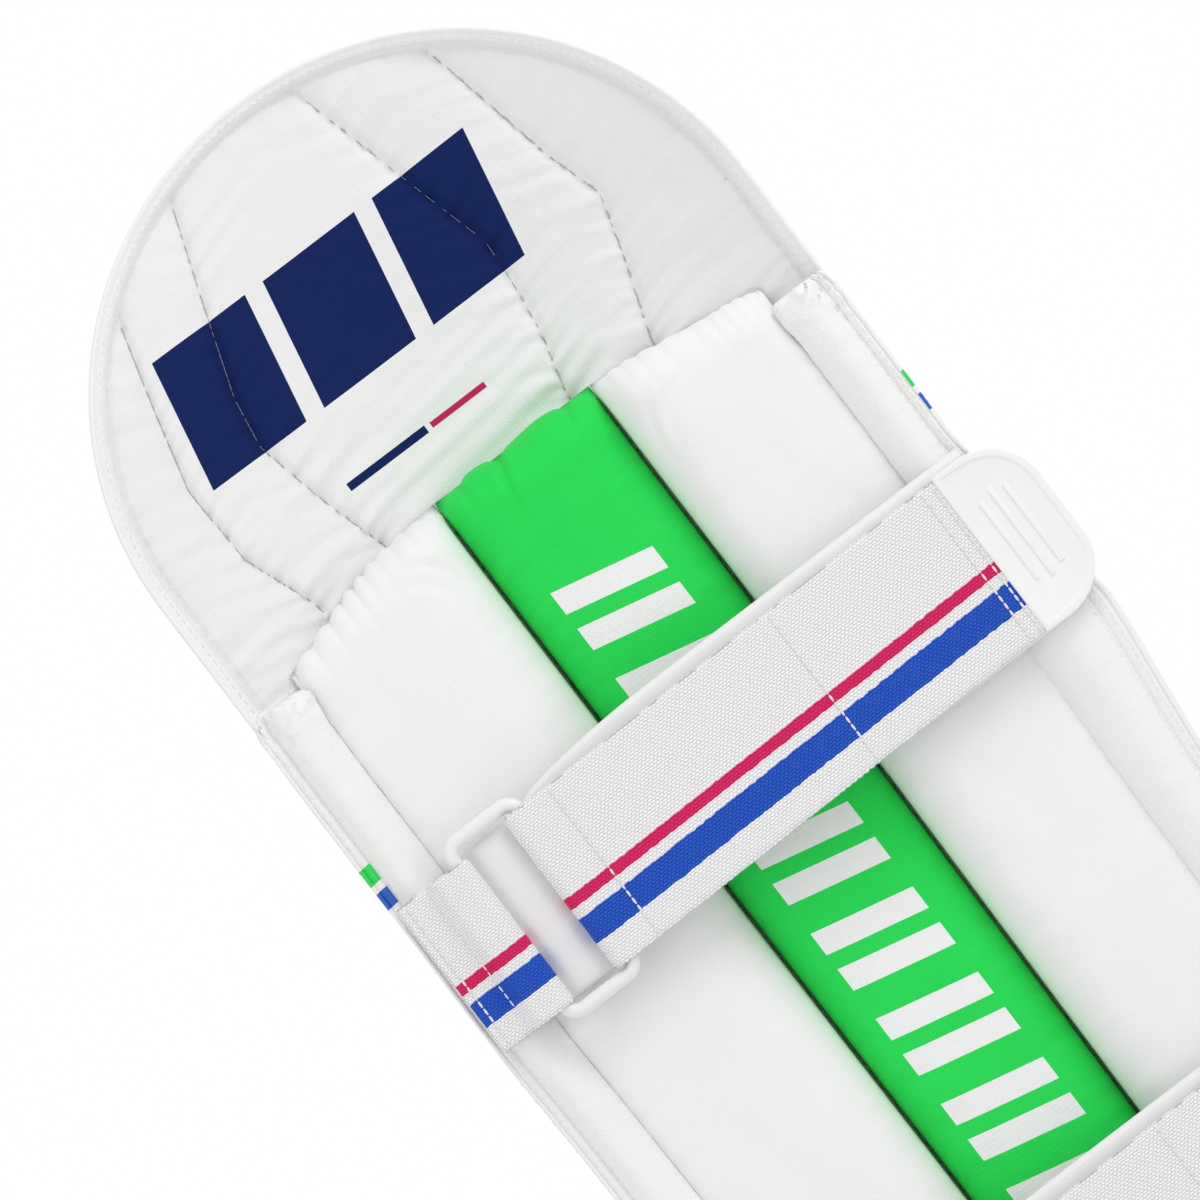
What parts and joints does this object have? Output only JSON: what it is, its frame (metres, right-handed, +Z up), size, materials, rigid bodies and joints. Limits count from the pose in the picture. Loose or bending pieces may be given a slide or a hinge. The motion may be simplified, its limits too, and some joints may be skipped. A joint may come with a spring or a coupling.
{
  "type": "cricket leg pad",
  "caption": "Adult batting leg pad: padded shin ribs, knee rolls, hinged top flap, leg-side bolsters, side wings and three strap closures with loops.",
  "frame": {"origin": "the middle of the pad at its base, on the front face of the backing board", "axes": "+Z up the leg, +Y towards the ball side, +X to the right as the strap side is looked at"},
  "size_m": [0.2607, 0.1058, 0.72],
  "materials": {
    "rib_cover": "smooth white polyurethane leathercloth, satin",
    "backing": "white leathercloth over foam board, satin",
    "cane": "natural cane rod",
    "foam": "closed-cell foam, matt",
    "bolster_fabric": "white brushed knit over foam, matt",
    "band_fabric": "bright green brushed knit over foam, matt",
    "wing_cover": "smooth white leathercloth, satin",
    "binding": "folded white binding tape, satin",
    "lining_fabric": "white quilted lining, matt",
    "webbing": "coarse woven elastic webbing, white with pink and blue stripes",
    "hook_tape": "white hook tape",
    "moulded_rubber": "moulded white rubber, satin",
    "loop_plastic": "moulded white acetal, satin"
  },
  "bodies": {
    "pad": {"ankle_loop_tab": "webbing", "backing_board": "backing", "calf_loop_tab": "webbing", "centre_band": "band_fabric", "centre_band_core": "foam", "instep_binding": "binding", "knee_core_bottom": "foam", "knee_core_middle": "foam", "knee_core_top": "foam", "knee_loop_tab": "webbing", "knee_roll_bottom": "rib_cover", "knee_roll_middle": "rib_cover", "knee_roll_top": "rib_cover", "left_bolster": "bolster_fabric", "left_bolster_core": "foam", "left_edge_binding": "binding", "left_wing": "wing_cover", "right_bolster": "bolster_fabric", "right_bolster_core": "foam", "right_edge_binding": "binding", "right_wing": "wing_cover", "shin_canes": "cane", "shin_rib_1": "rib_cover", "shin_rib_2": "rib_cover", "shin_rib_3": "rib_cover", "shin_rib_4": "rib_cover", "shin_rib_5": "rib_cover", "shin_rib_6": "rib_cover", "shin_rib_7": "rib_cover"},
    "top_flap": {"flap_binding": "binding", "flap_canes": "cane", "flap_lining": "lining_fabric", "flap_rib_1": "rib_cover", "flap_rib_2": "rib_cover", "flap_rib_3": "rib_cover", "flap_rib_4": "rib_cover", "flap_rib_5": "rib_cover"},
    "knee_loop_body": {"knee_loop": "loop_plastic"},
    "knee_strap_body": {"knee_strap": "webbing"},
    "knee_strap_end_body": {"knee_strap_end": "webbing", "knee_hook_patch": "hook_tape", "knee_pull_tab": "moulded_rubber"},
    "calf_loop_body": {"calf_loop": "loop_plastic"},
    "calf_strap_body": {"calf_strap": "webbing"},
    "calf_strap_end_body": {"calf_strap_end": "webbing", "calf_hook_patch": "hook_tape", "calf_pull_tab": "moulded_rubber"},
    "ankle_loop_body": {"ankle_loop": "loop_plastic"},
    "ankle_strap_body": {"ankle_strap": "webbing"},
    "ankle_strap_end_body": {"ankle_strap_end": "webbing", "ankle_hook_patch": "hook_tape", "ankle_pull_tab": "moulded_rubber"}
  },
  "joints": [
    {"name": "flap_fold", "type": "hinge", "parent": "pad", "child": "top_flap", "pos_m": [0, 0, 0.54301], "axis": [-1, 0, 0], "range_deg": [0, 18], "stiffness_Nm_per_rad": 1.5},
    {"name": "knee_loop_swivel", "type": "hinge", "parent": "pad", "child": "knee_loop_body", "pos_m": [-0.09545, -0.05558, 0.441], "axis": [0, 0, -1], "range_deg": [0, 15], "stiffness_Nm_per_rad": 0.05},
    {"name": "knee_strap_lift", "type": "hinge", "parent": "pad", "child": "knee_strap_body", "pos_m": [0.12086, -0.05118, 0.441], "axis": [0, 0, 1], "range_deg": [0, 2.25]},
    {"name": "knee_tab_peel", "type": "hinge", "parent": "knee_strap_body", "child": "knee_strap_end_body", "pos_m": [-0.06435, -0.05918, 0.441], "axis": [0, 0, -1], "range_deg": [0, 150]},
    {"name": "calf_loop_swivel", "type": "hinge", "parent": "pad", "child": "calf_loop_body", "pos_m": [-0.09036, -0.05558, 0.228], "axis": [0, 0, -1], "range_deg": [0, 15], "stiffness_Nm_per_rad": 0.05},
    {"name": "calf_strap_lift", "type": "hinge", "parent": "pad", "child": "calf_strap_body", "pos_m": [0.11576, -0.05118, 0.228], "axis": [0, 0, 1], "range_deg": [0, 2.38]},
    {"name": "calf_tab_peel", "type": "hinge", "parent": "calf_strap_body", "child": "calf_strap_end_body", "pos_m": [-0.05926, -0.05918, 0.228], "axis": [0, 0, -1], "range_deg": [0, 150]},
    {"name": "ankle_loop_swivel", "type": "hinge", "parent": "pad", "child": "ankle_loop_body", "pos_m": [-0.08622, -0.05558, 0.088], "axis": [0, 0, -1], "range_deg": [0, 15], "stiffness_Nm_per_rad": 0.05},
    {"name": "ankle_strap_lift", "type": "hinge", "parent": "pad", "child": "ankle_strap_body", "pos_m": [0.11162, -0.05118, 0.088], "axis": [0, 0, 1], "range_deg": [0, 2.49]},
    {"name": "ankle_tab_peel", "type": "hinge", "parent": "ankle_strap_body", "child": "ankle_strap_end_body", "pos_m": [-0.05512, -0.05918, 0.088], "axis": [0, 0, -1], "range_deg": [0, 150]}
  ],
  "couplings": [
    {"joint": "knee_strap_lift", "follows": "knee_loop_swivel", "ratio": 0.14869},
    {"joint": "calf_strap_lift", "follows": "calf_loop_swivel", "ratio": 0.15719},
    {"joint": "ankle_strap_lift", "follows": "ankle_loop_swivel", "ratio": 0.16486}
  ]
}
